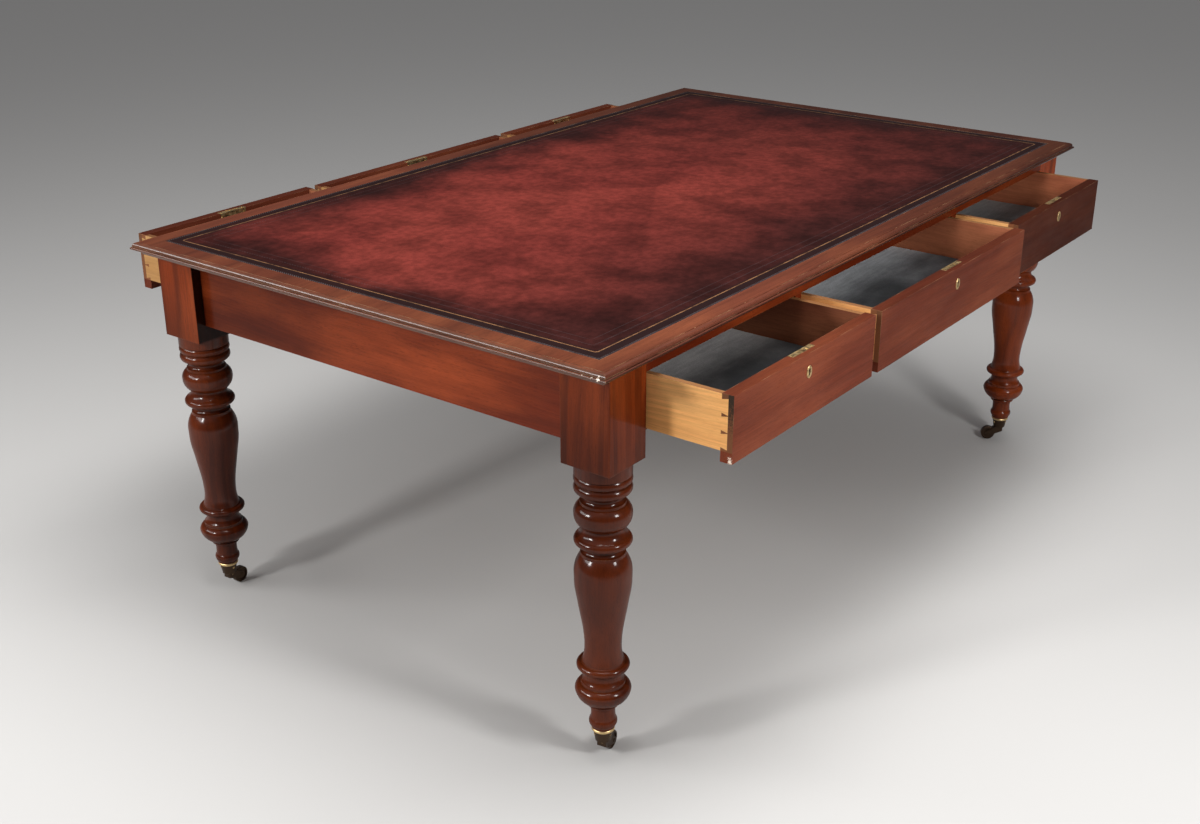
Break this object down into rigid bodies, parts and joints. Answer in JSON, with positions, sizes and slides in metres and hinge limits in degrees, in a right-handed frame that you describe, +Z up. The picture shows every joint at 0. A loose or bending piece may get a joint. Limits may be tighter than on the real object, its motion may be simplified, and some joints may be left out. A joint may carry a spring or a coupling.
{
  "type": "partners desk",
  "caption": "Mahogany partners desk with drawers on both long sides, turned legs on brass casters and a leather-lined top.",
  "frame": {"origin": "the floor under the middle of the desk's outline with its drawers as they stand open", "axes": "+X along the desk's long side, +Y from the front bank of drawers to the back bank, +Z up"},
  "size_m": [1.87, 1.436, 0.762],
  "materials": {
    "turned_mahogany": "French-polished, dark red-brown",
    "rail_mahogany": "French-polished",
    "top_mahogany": "French-polished, worn paler on the edges",
    "tooled_leather": "satin, mottled oxblood with tooled borders",
    "carcase_wood": "unpolished",
    "drawer_front_mahogany": "French-polished outside",
    "drawer_side_wood": "unpolished, golden",
    "drawer_bottom_wood": "unpolished",
    "caster_brass": "polished, a little tarnished",
    "lock_brass": "satin",
    "bolt_brass": "satin"
  },
  "bodies": {
    "desk": {"leg_front_left": "turned_mahogany", "leg_front_right": "turned_mahogany", "leg_back_left": "turned_mahogany", "leg_back_right": "turned_mahogany", "end_rail_left": "rail_mahogany", "end_rail_right": "rail_mahogany", "upper_rails": "rail_mahogany", "lower_rails": "rail_mahogany", "dividers": "rail_mahogany", "centre_rail": "carcase_wood", "drawer_runners": "carcase_wood", "drawer_guides": "carcase_wood", "kickers": "carcase_wood", "top_boards": "top_mahogany", "top_leather": "tooled_leather", "caster_cups": "caster_brass"},
    "drawer_front_left": {"drawer_front_left_front": "drawer_front_mahogany", "drawer_front_left_sides": "drawer_side_wood", "drawer_front_left_back": "drawer_side_wood", "drawer_front_left_bottom": "drawer_bottom_wood", "drawer_front_left_lock": "lock_brass"},
    "drawer_front_left_bolt": {"drawer_front_left_bolt": "bolt_brass"},
    "drawer_front_centre": {"drawer_front_centre_front": "drawer_front_mahogany", "drawer_front_centre_sides": "drawer_side_wood", "drawer_front_centre_back": "drawer_side_wood", "drawer_front_centre_bottom": "drawer_bottom_wood", "drawer_front_centre_lock": "lock_brass"},
    "drawer_front_centre_bolt": {"drawer_front_centre_bolt": "bolt_brass"},
    "drawer_front_right": {"drawer_front_right_front": "drawer_front_mahogany", "drawer_front_right_sides": "drawer_side_wood", "drawer_front_right_back": "drawer_side_wood", "drawer_front_right_bottom": "drawer_bottom_wood", "drawer_front_right_lock": "lock_brass"},
    "drawer_front_right_bolt": {"drawer_front_right_bolt": "bolt_brass"},
    "drawer_back_left": {"drawer_back_left_front": "drawer_front_mahogany", "drawer_back_left_sides": "drawer_side_wood", "drawer_back_left_back": "drawer_side_wood", "drawer_back_left_bottom": "drawer_bottom_wood", "drawer_back_left_lock": "lock_brass"},
    "drawer_back_left_bolt": {"drawer_back_left_bolt": "bolt_brass"},
    "drawer_back_centre": {"drawer_back_centre_front": "drawer_front_mahogany", "drawer_back_centre_sides": "drawer_side_wood", "drawer_back_centre_back": "drawer_side_wood", "drawer_back_centre_bottom": "drawer_bottom_wood", "drawer_back_centre_lock": "lock_brass"},
    "drawer_back_centre_bolt": {"drawer_back_centre_bolt": "bolt_brass"},
    "drawer_back_right": {"drawer_back_right_front": "drawer_front_mahogany", "drawer_back_right_sides": "drawer_side_wood", "drawer_back_right_back": "drawer_side_wood", "drawer_back_right_bottom": "drawer_bottom_wood", "drawer_back_right_lock": "lock_brass"},
    "drawer_back_right_bolt": {"drawer_back_right_bolt": "bolt_brass"},
    "caster_front_left": {"caster_fork_front_left": "caster_brass"},
    "wheel_front_left": {"caster_wheel_front_left": "caster_brass"},
    "caster_front_right": {"caster_fork_front_right": "caster_brass"},
    "wheel_front_right": {"caster_wheel_front_right": "caster_brass"},
    "caster_back_left": {"caster_fork_back_left": "caster_brass"},
    "wheel_back_left": {"caster_wheel_back_left": "caster_brass"},
    "caster_back_right": {"caster_fork_back_right": "caster_brass"},
    "wheel_back_right": {"caster_wheel_back_right": "caster_brass"}
  },
  "joints": [
    {"name": "drawer_front_left_slide", "type": "slide", "parent": "desk", "child": "drawer_front_left", "axis": [0, -1, 0], "range_m": [-0.1615, 0.2785]},
    {"name": "drawer_front_left_bolt_slide", "type": "slide", "parent": "drawer_front_left", "child": "drawer_front_left_bolt", "axis": [0, 0, 1], "range_m": [0, 0.008]},
    {"name": "drawer_front_centre_slide", "type": "slide", "parent": "desk", "child": "drawer_front_centre", "axis": [0, -1, 0], "range_m": [-0.1615, 0.2785]},
    {"name": "drawer_front_centre_bolt_slide", "type": "slide", "parent": "drawer_front_centre", "child": "drawer_front_centre_bolt", "axis": [0, 0, 1], "range_m": [0, 0.008]},
    {"name": "drawer_front_right_slide", "type": "slide", "parent": "desk", "child": "drawer_front_right", "axis": [0, -1, 0], "range_m": [-0.139, 0.301]},
    {"name": "drawer_front_right_bolt_slide", "type": "slide", "parent": "drawer_front_right", "child": "drawer_front_right_bolt", "axis": [0, 0, 1], "range_m": [0, 0.008]},
    {"name": "drawer_back_left_slide", "type": "slide", "parent": "desk", "child": "drawer_back_left", "axis": [0, 1, 0], "range_m": [-0.1895, 0.2505]},
    {"name": "drawer_back_left_bolt_slide", "type": "slide", "parent": "drawer_back_left", "child": "drawer_back_left_bolt", "axis": [0, 0, 1], "range_m": [0, 0.008]},
    {"name": "drawer_back_centre_slide", "type": "slide", "parent": "desk", "child": "drawer_back_centre", "axis": [0, 1, 0], "range_m": [-0.185, 0.255]},
    {"name": "drawer_back_centre_bolt_slide", "type": "slide", "parent": "drawer_back_centre", "child": "drawer_back_centre_bolt", "axis": [0, 0, 1], "range_m": [0, 0.008]},
    {"name": "drawer_back_right_slide", "type": "slide", "parent": "desk", "child": "drawer_back_right", "axis": [0, 1, 0], "range_m": [-0.186, 0.254]},
    {"name": "drawer_back_right_bolt_slide", "type": "slide", "parent": "drawer_back_right", "child": "drawer_back_right_bolt", "axis": [0, 0, 1], "range_m": [0, 0.008]},
    {"name": "caster_swivel_front_left", "type": "hinge", "parent": "desk", "child": "caster_front_left", "pos_m": [-0.844, -0.506, 0.035], "axis": [0, 0, 1], "continuous": true},
    {"name": "wheel_roll_front_left", "type": "hinge", "parent": "caster_front_left", "child": "wheel_front_left", "pos_m": [-0.81741, -0.50131, 0.017], "axis": [-0.1736, 0.9848, 0], "continuous": true},
    {"name": "caster_swivel_front_right", "type": "hinge", "parent": "desk", "child": "caster_front_right", "pos_m": [0.844, -0.506, 0.035], "axis": [0, 0, 1], "continuous": true},
    {"name": "wheel_roll_front_right", "type": "hinge", "parent": "caster_front_right", "child": "wheel_front_right", "pos_m": [0.8289, -0.48362, 0.017], "axis": [-0.829, -0.5592, 0], "continuous": true},
    {"name": "caster_swivel_back_left", "type": "hinge", "parent": "desk", "child": "caster_back_left", "pos_m": [-0.844, 0.478, 0.035], "axis": [0, 0, 1], "continuous": true},
    {"name": "wheel_roll_back_left", "type": "hinge", "parent": "caster_back_left", "child": "wheel_back_left", "pos_m": [-0.81704, 0.47941, 0.017], "axis": [-0.0523, 0.9986, 0], "continuous": true},
    {"name": "caster_swivel_back_right", "type": "hinge", "parent": "desk", "child": "caster_back_right", "pos_m": [0.844, 0.478, 0.035], "axis": [0, 0, 1], "continuous": true},
    {"name": "wheel_roll_back_right", "type": "hinge", "parent": "caster_back_right", "child": "wheel_back_right", "pos_m": [0.82062, 0.4915, 0.017], "axis": [-0.5, -0.866, 0], "continuous": true}
  ]
}
